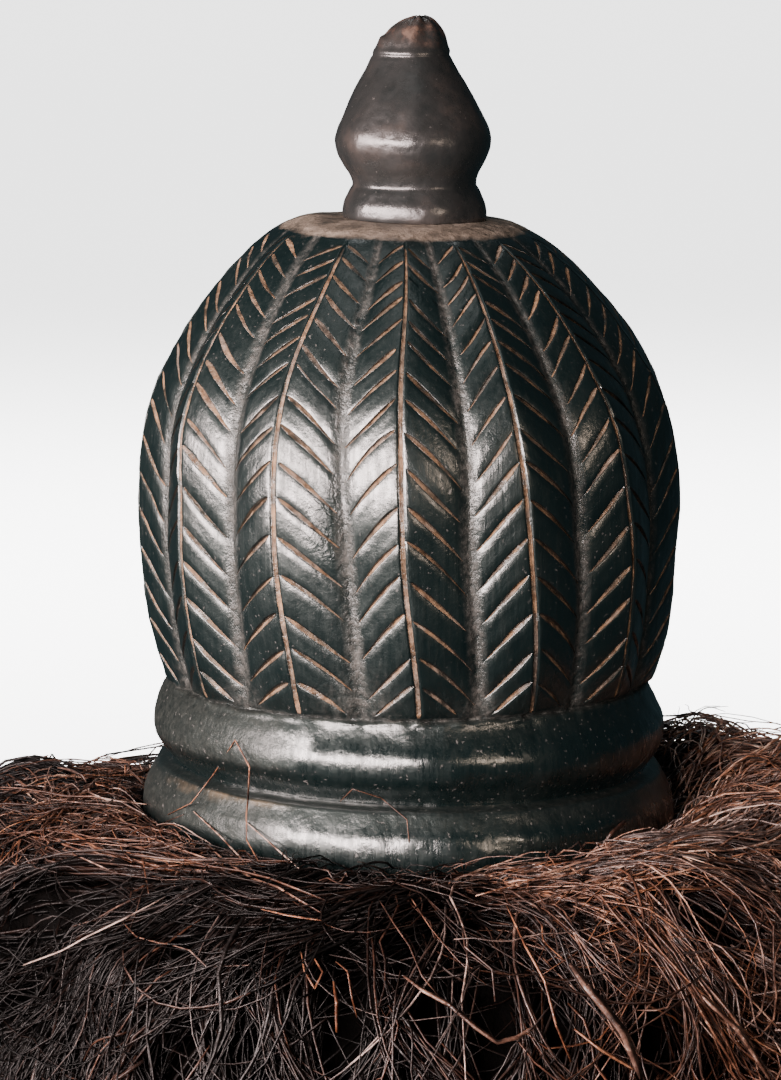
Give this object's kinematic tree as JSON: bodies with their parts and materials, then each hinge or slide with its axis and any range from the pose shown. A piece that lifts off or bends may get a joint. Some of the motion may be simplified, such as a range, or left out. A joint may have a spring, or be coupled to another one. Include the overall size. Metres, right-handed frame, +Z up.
{
  "type": "ceremonial cap",
  "caption": "Carved wooden ceremonial cap with leaf-shaped lobes, ring mouldings, a turned finial and a hanging ruff of plant fibre, worn on the head.",
  "frame": {"origin": "middle of the flat ceiling of the head hollow, where the crown sits on the head", "axes": "+Z up along the crown's axis, towards the finial; front faces -Y; +X is the viewer's right"},
  "size_m": [0.486, 0.486, 0.5278],
  "materials": {
    "black_carved_wood": "polished black stain, bare wood in the cuts",
    "black_turned_wood": "satin black stain, worn at the tip",
    "plant_fibre": "loose dark plant fibre"
  },
  "bodies": {
    "root": {"crown": "black_carved_wood", "finial": "black_turned_wood", "fibre_ruff": "plant_fibre"}
  },
  "joints": []
}
